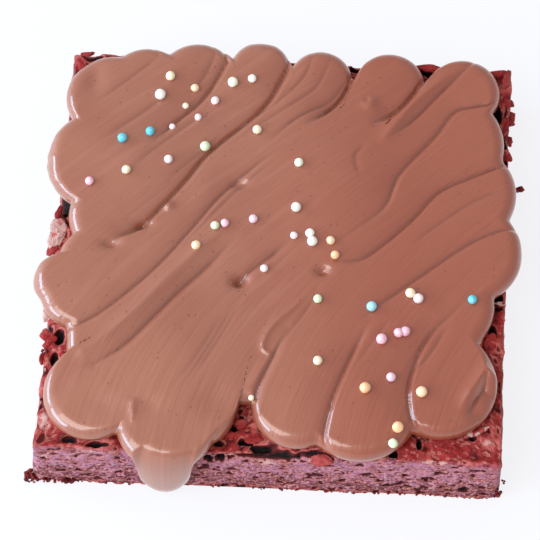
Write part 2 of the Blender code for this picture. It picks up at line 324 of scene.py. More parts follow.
# Loose flakes of crust: x, y, z, half length, half width, half thickness, turn and tilt in degrees, tone
# (0 dark, 1 pale).
FLAKES = (
    (-36.7, 1.9, 13.7, 2.5, 1.6, 0.30, 78, 8, 1.0),
    (-37.4, -0.9, 13.5, 1.2, 0.8, 0.30, 60, -20, 0.5),
    (-36.9, 5.6, 13.4, 1.4, 0.5, 0.30, 70, 35, 0.3),
    (-37.2, -12.6, 13.7, 1.3, 0.8, 0.25, 80, 12, 0.9),
    (-36.2, -13.8, 13.9, 1.0, 0.6, 0.25, 20, -15, 0.7),
    (-37.3, -16.4, 13.5, 1.2, 0.9, 0.30, 100, 10, 0.8),
    (-36.6, -17.6, 13.7, 1.3, 0.7, 0.25, 40, 18, 0.4),
    (-37.7, -20.2, 13.0, 0.9, 0.6, 0.30, 85, 30, 0.3),
    (37.2, 33.4, 14.4, 1.6, 0.9, 0.30, 75, 55, 0.6),
    (35.6, 34.6, 14.0, 1.8, 0.6, 0.25, 10, 20, 0.5),
    (37.2, 29.8, 13.4, 1.3, 0.7, 0.30, 95, 25, 0.1),
    (36.8, 24.6, 13.6, 1.2, 0.6, 0.30, 70, -20, 0.1),
    (37.4, 19.4, 13.4, 1.0, 0.6, 0.30, 100, 25, 0.2),
    (35.9, -7.7, 13.9, 1.1, 0.28, 0.25, 0, 0, 1.0),
    (34.4, -14.4, 13.6, 1.6, 1.2, 0.35, 60, 15, 0.4),
    (35.6, -20.4, 13.7, 1.0, 0.6, 0.25, 80, 12, 0.6),
    (32.2, -30.0, 14.0, 1.8, 0.5, 0.22, 25, 10, 0.9),
    (-5.4, -30.4, 13.9, 1.0, 0.7, 0.25, 30, 14, 0.8),
    (-7.0, -32.2, 13.9, 1.2, 0.7, 0.25, -10, 18, 0.4),
    (-3.2, -32.8, 14.0, 1.4, 0.8, 0.25, 15, -12, 0.5),
    (7.6, -35.6, 13.2, 1.7, 0.9, 0.30, 5, 30, 0.8),
    (-34.0, 35.4, 13.8, 1.5, 0.6, 0.25, 8, -10, 0.2),
    (24.4, 35.2, 13.9, 2.2, 0.6, 0.25, -5, 15, 0.2),
)

# Clusters of loose crumbs: x, y, z of the middle, half width along x, y and z, how many, largest radius.
CRUMBS = (
    (-39.1, -35.8, 0.6, 1.0, 1.0, 0.5, 34, 0.50),
    (-38.9, -36.2, 1.8, 0.3, 0.4, 1.2, 9, 0.38),
    (-35.0, -36.3, 0.3, 3.2, 0.30, 0.25, 30, 0.40),
    (-20.0, -36.2, 0.2, 12.0, 0.20, 0.2, 30, 0.30),
    (16.0, -36.2, 0.25, 19.0, 0.20, 0.25, 70, 0.32),
    (36.7, -36.0, 2.2, 0.5, 0.5, 1.6, 16, 0.45),
    (37.4, -34.4, 3.4, 0.3, 0.5, 0.4, 4, 0.45),
    (37.9, 29.0, 10.5, 0.6, 1.7, 1.6, 16, 0.95),
    (37.8, 23.2, 10.5, 0.4, 0.8, 1.2, 8, 0.70),
    (40.6, 19.6, 0.8, 0.35, 0.25, 0.25, 6, 0.80),
    (-37.7, -19.6, 13.2, 0.3, 0.8, 0.5, 8, 0.42),
    (-37.1, 5.4, 12.8, 0.3, 0.9, 0.7, 8, 0.45),
)

# Sugar pearls: x, y, diameter, colour.
PEARLS = (
    (-19.6, 29.8, 1.60, "cream"),
    (-21.1, 26.2, 1.85, "white"),
    (-15.4, 28.1, 1.40, "peach"),
    (-9.1, 29.1, 1.70, "green_white"),
    (-5.9, 30.0, 1.45, "white"),
    (-11.9, 25.6, 1.40, "rose_white"),
    (-16.8, 24.7, 1.10, "cream"),
    (-14.6, 22.4, 1.20, "rose_white"),
    (-18.8, 20.5, 1.05, "rose_white"),
    (-22.4, 19.2, 1.50, "blue"),
    (-26.9, 17.6, 1.60, "blue"),
    (-4.7, 20.3, 1.50, "cream"),
    (-13.2, 17.3, 1.70, "green"),
    (-19.1, 14.2, 1.45, "rose_white"),
    (-25.9, 11.8, 1.50, "cream"),
    (-31.8, 9.5, 1.40, "pink"),
    (-10.9, 2.5, 1.40, "green"),
    (-9.3, 3.0, 1.40, "pink"),
    (-4.7, 3.9, 1.45, "lilac"),
    (-13.8, -1.3, 1.55, "peach"),
    (-2.6, -4.7, 1.30, "rose_white"),
    (2.4, 14.2, 1.50, "green_white"),
    (2.2, 6.1, 1.65, "white"),
    (2.0, 1.2, 1.25, "rose_white"),
    (4.6, 1.6, 1.50, "white"),
    (5.0, 0.2, 1.70, "white"),
    (8.0, 0.5, 1.45, "peach"),
    (8.8, -2.0, 1.45, "orange"),
    (6.2, -9.8, 1.45, "green"),
    (14.9, -10.7, 1.65, "pale_blue"),
    (21.1, -8.1, 1.65, "cream"),
    (22.4, -9.0, 1.70, "rose_white"),
    (31.1, -8.8, 1.45, "blue"),
    (16.6, -16.4, 1.75, "pink"),
    (19.3, -15.1, 1.60, "pink"),
    (20.4, -14.8, 1.60, "pink"),
    (6.5, -20.6, 1.55, "cream"),
    (18.2, -22.9, 1.55, "lilac"),
    (14.1, -25.1, 1.80, "orange"),
    (23.1, -25.2, 1.80, "peach"),
    (19.4, -31.3, 1.80, "orange"),
    (18.7, -34.0, 1.50, "green"),
    (-3.8, -27.0, 0.95, "cream"),
)
PEARL_COLOURS = {
    "white": (0.92, 0.84, 0.76),
    "cream": (0.92, 0.76, 0.52),
    "peach": (0.93, 0.62, 0.38),
    "orange": (0.95, 0.52, 0.26),
    "rose_white": (0.92, 0.72, 0.72),
    "pink": (0.90, 0.48, 0.56),
    "lilac": (0.85, 0.55, 0.66),
    "green": (0.70, 0.80, 0.50),
    "green_white": (0.86, 0.88, 0.66),
    "blue": (0.10, 0.52, 0.66),
    "pale_blue": (0.36, 0.68, 0.78),
}


# --- arithmetic on whole arrays -------------------------------------------------------------------


def smooth_step(low, high, value):
    """Rises from 0 at low to 1 at high along 3t^2 - 2t^3."""
    share = np.clip((value - low) / (high - low), 0, 1)
    return share * share * (3 - 2 * share)


def lattice(cell, seed):
    """A repeatable number from 0 to 1 for each whole-numbered cell, from a multiply-and-shift hash."""
    code = (cell[..., 0] * 73856093) ^ (cell[..., 1] * 19349663) ^ (
        cell[..., 2] * 83492791
    ) ^ (seed * 2654435761)
    code = (code ^ (code >> 13)) * 1274126177 & 0x7FFFFFFF
    code = (code ^ (code >> 15)) * 668265263 & 0x7FFFFFFF
    return (code & 0xFFFFF) / float(0xFFFFF)


def soft_noise(points, size, seed):
    """Value noise from -1 to 1: hashed corner values of cells of this size, blended smoothly."""
    place = points / size
    low = np.floor(place).astype(np.int64)
    share = place - low
    share = share * share * (3 - 2 * share)
    total = 0.0
    for corner in np.ndindex(2, 2, 2):
        weight = np.prod(np.where(corner, share, 1 - share), axis=-1)
        total = total + weight * lattice(low + np.array(corner), seed)
    return 2 * total - 1


def rough_noise(points, size, seed, octaves):
    """Soft noise summed over octaves, each half as large and half as strong as the one before."""
    total, strength = 0.0, 1.0
    for octave in range(octaves):
        total = total + strength * soft_noise(points, size / 2**octave, seed + octave)
        strength *= 0.5
    return total


def pits(across, along, wrap, size, seed, share_filled, radius):
    """Pits scattered one to a cell over a strip that closes on itself after wrap millimetres across: 1 at a
    pit's middle, 0 from its radius outwards, and each up to twice as wide as it is tall."""
    columns = max(1, round(wrap / size))
    place_x, place_y = across / wrap * columns, along / size
    home_x, home_y = np.floor(place_x).astype(np.int64), np.floor(place_y).astype(np.int64)
    deepest = np.zeros(np.shape(place_y))
    for step_x, step_y in np.ndindex(3, 3):
        near_x, near_y = home_x + step_x - 1, home_y + step_y - 1
        cell = np.stack([near_x % columns, near_y, 0 * near_y], axis=-1)
        off_x = place_x - near_x - lattice(cell, seed)
        off_y = place_y - near_y - lattice(cell, seed + 1)
        reach = radius / size * (0.45 + 0.55 * lattice(cell, seed + 2))
        away = np.hypot(off_x / (1 + lattice(cell, seed + 3)), off_y) / reach
        pit = np.where(lattice(cell, seed + 4) < share_filled, np.clip(1 - away * away, 0, 1), 0)
        deepest = np.maximum(deepest, pit)
    return deepest


def smooth_route(points, steps=8):
    """A route through the points by Catmull-Rom cubics, with this many steps to each stretch."""
    knots = np.array(points, float)
    knots = np.vstack([2 * knots[0] - knots[1], knots, 2 * knots[-1] - knots[-2]])
    t = (np.arange(steps) / steps)[:, None]
    parts = []
    for a, b, c, d in zip(knots, knots[1:], knots[2:], knots[3:]):
        parts.append(
            0.5 * (2 * b + (c - a) * t + (2 * a - 5 * b + 4 * c - d) * t**2 + (3 * b - a - 3 * c + d) * t**3)
        )
    return np.vstack([*parts, knots[-2:-1]])


def along_route(x, y, route):
    """Signed distance to a route (left of it is positive), and how far along it the nearest place is, 0
    to 1."""
    nearest = np.full(np.shape(x), np.inf)
    signed = np.zeros(np.shape(x))
    along = np.zeros(np.shape(x))
    count = len(route) - 1
    for index in range(count):
        (ax, ay), (bx, by) = route[index], route[index + 1]
        dx, dy = bx - ax, by - ay
        share = np.clip(((x - ax) * dx + (y - ay) * dy) / (dx * dx + dy * dy), 0, 1)
        away = np.hypot(x - ax - share * dx, y - ay - share * dy)
        closer = away < nearest
        side = np.sign(dx * (y - ay) - dy * (x - ax))
        signed = np.where(closer, np.where(side < 0, -away, away), signed)
        along = np.where(closer, (index + share) / count, along)
        nearest = np.minimum(nearest, away)
    return signed, along


# --- the outlines ---------------------------------------------------------------------------------


def side_radius(angle):
    """Distance from the middle to the block's side along each angle: a skewed rectangle."""
    across = np.abs(np.cos(angle) - SKEW * np.sin(angle)) / (CAKE_WIDTH / 2)
    along = np.abs(np.sin(angle)) / (CAKE_DEPTH / 2)
    return 1 / np.maximum(across, along)


def side_flare(height):
    return FOOT_FLARE * (1 - height / CAKE_HEIGHT)


def rim_radius(angle):
    """The icing's outline: the furthest of the lobes and the core along each angle, merged by a soft
    maximum."""
    cos, sin = np.cos(angle), np.sin(angle)
    core_x = np.where(cos > 0, CORE_RIGHT, CORE_LEFT)
    core_y = np.where(sin > 0, CORE_BACK, CORE_FRONT)
    core = ((np.abs(cos) / core_x) ** CORE_POWER + (np.abs(sin) / core_y) ** CORE_POWER) ** (-1 / CORE_POWER)
    total = np.exp(core / MERGE)
    for x, y, radius in LOBES:
        ahead = x * cos + y * sin
        inside = radius**2 - (y * cos - x * sin) ** 2
        reach = np.where((inside > 0) & (ahead > 0), ahead + np.sqrt(np.maximum(inside, 0)), 0)
        total = total + np.exp(reach / MERGE)
    return MERGE * np.log(total)


def icing_height(x, y):
    """(height, crease shade): a gently rolling crown with streaks along the strokes, less a valley along each fold,
    with a bead on its steep side, and a round dip at each dimple. The crease shade is the painted shade down a fold's
    narrow line: how far each place lies down that line."""
    across, along = stroke_flow(x, y)
    height = CROWN + 0.30 * np.sin((x + y) / 9.0) * np.cos((x - y) / 13.0)
    streak = np.stack([across / 1.5, along / 22.0, 0 * x], axis=-1)
    patch = np.stack([x / 15.0, y / 15.0, 0 * x], axis=-1)
    height = height + STREAK_HEIGHT * rough_noise(streak, 1.0, 81, 2) * (
        0.7 + 0.6 * soft_noise(patch, 1.0, 85)
    )
    painted_crease_shade = np.zeros(np.shape(x))
    for depth, left, right, start, end, points in FOLDS:
        away, share = along_route(x, y, smooth_route(points))
        strength = np.minimum(
            start + (1 - start) * smooth_step(0, 0.3, share), end + (1 - end) * smooth_step(0, 0.3, 1 - share)
        )
        far, reach = np.abs(away), np.where(away > 0, left, right)
        shape = np.exp(-((far / reach) ** TROUGH_POWER))
        if depth > 0:
            shape = TROUGH_SHARE * shape + (1 - TROUGH_SHARE) * np.exp(-far / CUT_WIDTH)
            shape = shape - BEAD_HEIGHT * np.exp(-(((away - BEAD_PLACE * left) / (BEAD_WIDTH * left)) ** 2))
            # painted shade down the valley's narrow cut, stronger for deeper valleys
            line = np.exp(-((away / LINE_WIDTH) ** 2))
            painted_crease_shade = np.maximum(painted_crease_shade, np.clip(LINE_SHADE * depth, 0, 1) * strength * line)
        height = height - depth * strength * shape
    for x0, y0, depth, wide, tall in DIMPLES:
        dip = np.exp(-(((x - x0) / wide) ** 2) - ((y - y0) / tall) ** 2)
        height = height - depth * dip
    return height, painted_crease_shade


def stroke_flow(x, y):
    """(across, along): how far each place lies across and along the sweep of the strokes. A stroke is
    x = across + y + k y^2 / 2, so it runs at about 45 degrees and grows steeper towards the front."""
    curve = np.where(y < 0, 0.024, 0.010)
    return x - y - curve * y * y / 2, x + y


def tongue_share(angle, radius, overhang):
    """1 down the middle of the tongue on the front face, and 0 away from it."""
    offset = np.abs(radius * np.cos(angle) - TONGUE_X) / TONGUE_HALF_WIDTH
    share = np.where(np.sin(angle) < 0, np.clip(1 - offset**TONGUE_POWER, 0, 1), 0)
    return share * smooth_step(TONGUE_STARTS, TONGUE_FULL, overhang)


def rim_rings(angle):
    """Rings of (radius, height) from the top's edge round the rim and in under the icing: two quarter
    ellipses, the upper as wide as the rim and the lower as deep as its tuck, then the hidden underside."""
    radius = rim_radius(angle)
    side = side_radius(angle)
    tongue = tongue_share(angle, radius, radius - side)
    sag = SAG * smooth_step(SAG_STARTS, SAG_FULL, radius - side)
    low = UNDERSIDE - np.maximum(sag, TONGUE_LENGTH * tongue)
    width = RIM_WIDTH + TONGUE_RIM * tongue
    edge = radius - width
    high = icing_height(edge * np.cos(angle), edge * np.sin(angle))[0]
    middle = low + (RIM_MIDDLE + (TONGUE_MIDDLE - RIM_MIDDLE) * tongue) * (high - low)
    crinkle = WRINKLE_DEPTH * np.exp(-(((angle - WRINKLE_ANGLE) / WRINKLE_SPREAD) ** 2))
    rings = [(edge, high)]
    for degrees in RIM_ANGLES:
        turn = math.radians(degrees)
        wrinkle = crinkle * math.cos(turn) * np.sin(WRINKLE_COUNT * angle + 5 * turn) * np.sin(
            31 * angle - 7 * turn
        )
        if degrees > 0:
            bend = 1 + (TONGUE_BEND - 1) * tongue
            lean = TONGUE_LEAN * tongue
            depth = (width - lean) * (1 - math.cos(turn) ** bend) + lean * math.sin(turn)
            rings.append((radius - depth + wrinkle, middle + (high - middle) * math.sin(turn) ** bend))
        else:
            depth = RIM_TUCK * (1 - math.cos(turn))
            rings.append((radius - depth + wrinkle, middle + (middle - low) * math.sin(turn)))
    inner = np.minimum(side + side_flare(low) + SIDE_CLEARANCE, radius - RIM_TUCK - 0.3)
    rings.append((inner, low))
    rings.append((np.minimum(inner, side + SIDE_CLEARANCE) - 0.4, np.full_like(low, UNDERSIDE)))
    rings.append((inner * 0.6, np.full_like(low, UNDERSIDE)))
    return rings


# --- meshes ---------------------------------------------------------------------------------------


def quads(rows, columns, wrap):
    """Quads of a grid of points stored row by row, its columns closed into a loop if wrap is set."""
    across = columns if wrap else columns - 1
    row, column = np.meshgrid(np.arange(rows - 1), np.arange(across), indexing="ij")
    here, beside = row * columns + column, row * columns + (column + 1) % columns
    return np.stack([here, beside, beside + columns, here + columns], axis=-1).reshape(-1, 4)


def make_piece(name, points, face_sets, material, attributes=None):
    """A smooth mesh object from points in millimetres and arrays of faces, on the brownie's one body."""
    mesh = bpy.data.meshes.new(name)
    mesh.vertices.add(len(points))
    mesh.vertices.foreach_set("co", (np.asarray(points) * MM).astype(np.float32).ravel())
    corners = np.concatenate([faces.ravel() for faces in face_sets])
    sizes = np.concatenate([np.full(len(faces), faces.shape[1]) for faces in face_sets])
    mesh.loops.add(len(corners))
    mesh.loops.foreach_set("vertex_index", corners.astype(np.int32))
    mesh.polygons.add(len(sizes))
    mesh.polygons.foreach_set("loop_start", (np.cumsum(sizes) - sizes).astype(np.int32))
    mesh.update(calc_edges=True)
    mesh.validate()
    for key, values in (attributes or {}).items():
        values = np.asarray(values, np.float32)
        if values.ndim == 1:
            mesh.attributes.new(key, "FLOAT", "POINT").data.foreach_set("value", values)
        else:
            layer = mesh.attributes.new(key, "FLOAT_COLOR", "POINT")
            layer.data.foreach_set(
                "color", np.column_stack([values, np.ones(len(values))]).astype(np.float32).ravel()
            )
    mesh.shade_smooth()
    mesh.materials.append(material)
    piece = bpy.data.objects.new(name, mesh)
    bpy.context.scene.collection.objects.link(piece)
    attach(piece, "root")
    return piece


def icing_mesh(count):
    """(points, faces, attributes) of the icing. The top is a square grid drawn out to the lobed outline, by a
    stretch that grows with the square of the way out, and its border carries on round the rim."""
    line = np.linspace(-1, 1, count)
    along, across = np.meshgrid(line, line, indexing="ij")
    x = GRID_HALF_X * across + SKEW * GRID_HALF_Y * along
    y = GRID_HALF_Y * along
    out = np.maximum(np.maximum(np.abs(across), np.abs(along)), 1e-9)
    angle = np.arctan2(y, x)
    border = np.maximum(np.hypot(x, y) / out, 1e-9)
    stretch = 1 + (rim_rings(angle)[0][0] / border - 1) * out**2
    x, y = x * stretch, y * stretch
    height, painted_crease_shade = icing_height(x, y)
    top = np.stack([x, y, height], axis=-1).reshape(-1, 3)

    index = np.arange(count * count).reshape(count, count)
    loop = np.concatenate([index[0, :-1], index[:-1, -1], index[-1, :0:-1], index[:0:-1, 0]])
    turn = np.arctan2(top[loop, 1], top[loop, 0])
    rings = rim_rings(turn)[1:]
    rows = [np.stack([r * np.cos(turn), r * np.sin(turn), h], axis=-1) for r, h in rings]
    points = np.vstack([top, *rows, [[0, 0, UNDERSIDE]]])
    start = count * count
    ring_faces = quads(len(rows), len(loop), True)[:, ::-1] + start
    first = start + np.arange(len(loop))
    joined = np.stack([loop, first, np.roll(first, -1), np.roll(loop, -1)], axis=-1)
    last = start + (len(rows) - 1) * len(loop) + np.arange(len(loop))
    cap = np.stack([last, np.full(len(loop), len(points) - 1), np.roll(last, -1)], axis=-1)
    painted_crease_shade = np.concatenate([painted_crease_shade.ravel(), np.zeros(len(points) - start)])
    across, along = stroke_flow(points[:, 0], points[:, 1])
    flow = np.stack([across / 100, along / 100, points[:, 2] / 100], axis=-1)
    return points, [quads(count, count, False), joined, ring_faces, cap], {"painted_crease_shade": painted_crease_shade, "flow": flow}


def outline_points(count):
    """(way round, whole length, x, y, outward x, outward y) round the block's top, which is a rectangle
    with round corners."""
    half_x, half_y = CAKE_WIDTH / 2 - CORNER_ROUND, CAKE_DEPTH / 2 - CORNER_ROUND
    arc = math.pi / 2 * CORNER_ROUND
    lengths = [2 * half_y, arc, 2 * half_x, arc] * 2
    ends = np.cumsum(lengths)
    walk = (np.arange(count) + 0.5) / count * ends[-1]
    x, y, nx, ny = (np.zeros(count) for _ in range(4))
    corner = ((1, 1), (-1, 1), (-1, -1), (1, -1))
    for side in range(4):
        turn = side * math.pi / 2
        out_x, out_y = round(math.cos(turn)), round(math.sin(turn))
        straight = (walk >= ends[2 * side] - lengths[2 * side]) & (walk < ends[2 * side])
        way = walk[straight] - ends[2 * side] + lengths[2 * side] / 2
        x[straight] = out_x * CAKE_WIDTH / 2 - out_y * way
        y[straight] = out_y * CAKE_DEPTH / 2 + out_x * way
        nx[straight], ny[straight] = out_x, out_y
        bend = (walk >= ends[2 * side]) & (walk < ends[2 * side + 1])
        swing = turn + (walk[bend] - ends[2 * side]) / CORNER_ROUND
        x[bend] = corner[side][0] * half_x + CORNER_ROUND * np.cos(swing)
        y[bend] = corner[side][1] * half_y + CORNER_ROUND * np.sin(swing)
        nx[bend], ny[bend] = np.cos(swing), np.sin(swing)
    return walk, ends[-1], x, y, nx, ny


def blobs(points, table):
    """The largest of many soft ellipsoids at each point: its strength at its middle, falling to 0 at its
    surface."""
    strongest = np.zeros(points.shape[:-1])
    for x, y, z, wide, long, tall, strength in table:
        away = ((points - np.array([x, y, z])) / np.array([wide, long, tall])) ** 2
        strongest = np.maximum(strongest, strength * np.clip(1 - away.sum(axis=-1), 0, 1))
    return strongest


def block_mesh(columns):
    """(points, faces, attributes) of the crumb block. Each column of points runs from the underside up
    the side, round the cut edge and a little way in over the top, then to the middle under the icing.
    Every point is pushed along its outward direction by lumps, less the pores and the hollows."""
    walk, wrap, x, y, nx, ny = outline_points(columns)
    rise = np.linspace(FOOT_ROUND, CAKE_HEIGHT - EDGE_ROUND, RISE_ROWS)
    inward = np.linspace(EDGE_ROUND, TOP_BAND, TOP_ROWS)
    # Each row: how far in from the side, its height, and how much its outward direction is up.
    rows = [(20.0, 0.0, -1.0), (2.0, 0.0, -1.0), (0.2, 0.0, -0.7)]
    rows += [(0.0, z, 0.0) for z in rise]
    rows += [(0.1, CAKE_HEIGHT - 0.1, 0.7)]
    rows += [(d, CAKE_HEIGHT, 1.0) for d in inward]
    rows += [(d, CAKE_HEIGHT, 1.0) for d in (14.0, 24.0)]
    depth, height, up = (np.array(column)[:, None] for column in zip(*rows))
    flare = side_flare(height)
    inset = 1 - depth / (CAKE_DEPTH / 2)
    px = (x + nx * flare) * inset
    py = (y + ny * flare) * inset
    px = px + SKEW * py
    pz = np.broadcast_to(height, px.shape)
    base = np.stack([px, py, pz], axis=-1)
    sideways = np.sqrt(1 - up**2)
    outward = np.stack([nx * sideways, ny * sideways, up + 0 * px], axis=-1)
    profile = height + depth * (up > 0) + 0 * px
    top = smooth_step(0.3, 0.9, up) + 0 * px
    crust = np.maximum(top, 0.75 * smooth_step(CAKE_HEIGHT - 1.5, CAKE_HEIGHT - 0.3, pz))
    low_down = 1 - smooth_step(2.0, 10.0, pz)
    wander_x, wander_y = 0.45 * soft_noise(base, 0.9, 41), 0.35 * soft_noise(base, 0.9, 43)
    across, along = walk + wander_x, profile + wander_y
    hole = blobs(base + np.stack([wander_x, wander_y, wander_y], axis=-1) * 0.4, HOLLOWS)
    craggy = rough_noise(base * [0.75, 1, 1], 2.0, 60, 4)
    ridges = 1 - 2 * np.abs(soft_noise(base * [0.7, 1.1, 1], 1.3, 71))
    lumps = LUMP_HEIGHT * rough_noise(base, 3.2, 5, 3) + GRAIN_HEIGHT * soft_noise(base, 0.8, 9)
    wave = SIDE_WOBBLE * np.sin(px / 7.0 + py / 9.6) * np.sin(py / 17.0 - px / 14.0)
    push = lumps + wave * (1 - top) + crust * (CRAG_HEIGHT * craggy + RIDGE_HEIGHT * ridges - CRUST_DROP)
    # hollow: how much painted shade each place gets in the pores and the listed hollows
    hollow = 0
    for cell, seed, filled, more, radius, strength, lost, deep, shade in PORES:
        pore = pits(across, along, wrap, cell, seed, filled + more * low_down, radius) * (
            strength - lost * crust
        )
        push = push - deep * pore
        hollow = hollow + shade * pore
    push = push - hole
    hollow = np.clip(hollow + HOLLOW_SHADE * hole, 0, 1)
    push = np.where(up < -0.5, 0, push) * np.where(up < 0, 0.3, 1)
    points = base + outward * push[..., None]
    points[..., 2] = np.maximum(points[..., 2], 0)
    hidden = depth[:, 0] > TOP_BAND + 0.1
    points[hidden, :, 2] = CAKE_HEIGHT - HIDDEN_DROP
    # raised: how high the crust stands; its low places get painted shade
    raised = np.clip(0.5 + 0.3 * craggy + 0.25 * ridges, 0, 1)
    pale = blobs(base, PALE_PATCHES)
    count = len(rows)
    points = np.vstack([points.reshape(-1, 3), [[0, 0, 0], [0, 0, CAKE_HEIGHT - HIDDEN_DROP]]])
    ring = np.arange(columns)
    low_cap = np.stack([np.roll(ring, -1), ring, np.full(columns, len(points) - 2)], axis=-1)
    top_ring = ring + (count - 1) * columns
    top_cap = np.stack([top_ring, np.roll(top_ring, -1), np.full(columns, len(points) - 1)], axis=-1)
    layers = {"hollow": hollow, "crust": crust, "raised": raised, "pale": pale}
    attributes = {key: np.concatenate([layer.ravel(), [0, 0]]) for key, layer in layers.items()}
    return points, [quads(count, columns, True), low_cap, top_cap], attributes


def lumpy_ball(centre, radii, seed, roughness, rings=10, sides=14, turned=None):
    """(points, quads, triangles) of an ellipsoid whose radius varies by soft noise, turned by a matrix."""
    tilt = np.linspace(0, math.pi, rings + 1)[1:-1, None]
    turn = np.linspace(0, 2 * math.pi, sides, endpoint=False)[None]
    way = np.stack(
        [np.sin(tilt) * np.cos(turn), np.sin(tilt) * np.sin(turn), np.cos(tilt) + 0 * turn], axis=-1
    )
    way = np.vstack([way.reshape(-1, 3), [[0, 0, 1], [0, 0, -1]]])
    size = 1 + roughness * rough_noise(way * 1.0 + seed * 7.3, 0.8, seed, 2)
    points = way * np.array(radii) * size[:, None]
    if turned is not None:
        points = points @ turned.T
    points = points + np.array(centre)
    body = quads(rings - 1, sides, True)[:, ::-1]
    ring = np.arange(sides)
    top, bottom = len(way) - 2, len(way) - 1
    last = ring + (rings - 2) * sides
    caps = np.vstack([
        np.stack([ring, np.roll(ring, -1), np.full(sides, top)], axis=-1),
        np.stack([np.roll(last, -1), last, np.full(sides, bottom)], axis=-1),
    ])
    return points, body, caps


def gather(parts):
    """One set of points and faces from many parts."""
    points, bodies, caps, start = [], [], [], 0
    for part_points, body, cap in parts:
        points.append(part_points)
        bodies.append(body + start)
        caps.append(cap + start)
        start += len(part_points)
    return np.vstack(points), [np.vstack(bodies), np.vstack(caps)]


# --- materials ------------------------------------------------------------------------------------


class Shade:
    """A short way to build a material's nodes: each call adds a node and joins its inputs."""

    def __init__(self, tree):
        self.tree = tree

    def node(self, kind, inputs=None, **settings):
        made = self.tree.nodes.new(kind)
        for key, value in settings.items():
            setattr(made, key, value)
        for key, value in (inputs or {}).items():
            if isinstance(value, bpy.types.NodeSocket):
                self.tree.links.new(value, made.inputs[key])
            else:
                made.inputs[key].default_value = value
        return made

    def math(self, operation, a, b=0.0, clamp=False):
        return self.node("ShaderNodeMath", {0: a, 1: b}, operation=operation, use_clamp=clamp).outputs[0]

    def mix(self, share, a, b, blend="MIX"):
        made = self.node("ShaderNodeMix", data_type="RGBA", blend_type=blend)
        for key, value in ((0, share), (6, a), (7, b)):
            if isinstance(value, bpy.types.NodeSocket):
                self.tree.links.new(value, made.inputs[key])
            elif key == 0:
                made.inputs[key].default_value = value
            else:
                made.inputs[key].default_value = (*value, 1)
        return made.outputs[2]

    def noise(self, vector, scale, detail=3.0, roughness=0.55):
        inputs = {"Vector": vector, "Scale": scale, "Detail": detail, "Roughness": roughness}
        return self.node("ShaderNodeTexNoise", inputs).outputs["Fac"]

    def ramp(self, value, low, high):
        inputs = {"Value": value, "From Min": low, "From Max": high, "To Min": 0.0, "To Max": 1.0}
        return self.node("ShaderNodeMapRange", inputs, interpolation_type="SMOOTHSTEP").outputs[0]

    def attribute(self, name, output="Fac"):
        return self.node("ShaderNodeAttribute", attribute_name=name).outputs[output]


def new_material(name):
    material = bpy.data.materials.new(name)
    material.use_nodes = True
    shade = Shade(material.node_tree)
    return material, shade, material.node_tree.nodes["Principled BSDF"]


def speck_group():
    """Shared node group: Specks, a mask of small scattered dots, and Grain, a fine unevenness."""
    name = "fine specks"
    if name in bpy.data.node_groups:
        return bpy.data.node_groups[name]
    group = bpy.data.node_groups.new(name, "ShaderNodeTree")
    for label, kind, value in (("Scale", "NodeSocketFloat", 1.0), ("Share", "NodeSocketFloat", 0.1)):
        socket = group.interface.new_socket(label, in_out="INPUT", socket_type=kind)
        socket.default_value = value
    for label in ("Specks", "Grain"):
        group.interface.new_socket(label, in_out="OUTPUT", socket_type="NodeSocketFloat")
    shade = Shade(group)
    entry = shade.node("NodeGroupInput")
    place = shade.node("ShaderNodeTexCoord").outputs["Object"]
    cells = shade.node("ShaderNodeTexVoronoi", {"Vector": place, "Scale": entry.outputs["Scale"]})
    dot = shade.math("LESS_THAN", cells.outputs["Distance"], 0.16)
    chosen = shade.math(
        "LESS_THAN", shade.node(
            "ShaderNodeSeparateColor", {0: cells.outputs["Color"]}
        ).outputs[0], entry.outputs["Share"]
    )
    grain = shade.noise(place, entry.outputs["Scale"], 4.0, 0.6)
    leave = shade.node("NodeGroupOutput")
    group.links.new(shade.math("MULTIPLY", dot, chosen), leave.inputs["Specks"])
    group.links.new(grain, leave.inputs["Grain"])
    return group


def specks(shade, scale, share):
    made = shade.node("ShaderNodeGroup", node_tree=speck_group())
    made.inputs["Scale"].default_value = scale
    made.inputs["Share"].default_value = share
    return made.outputs["Specks"], made.outputs["Grain"]


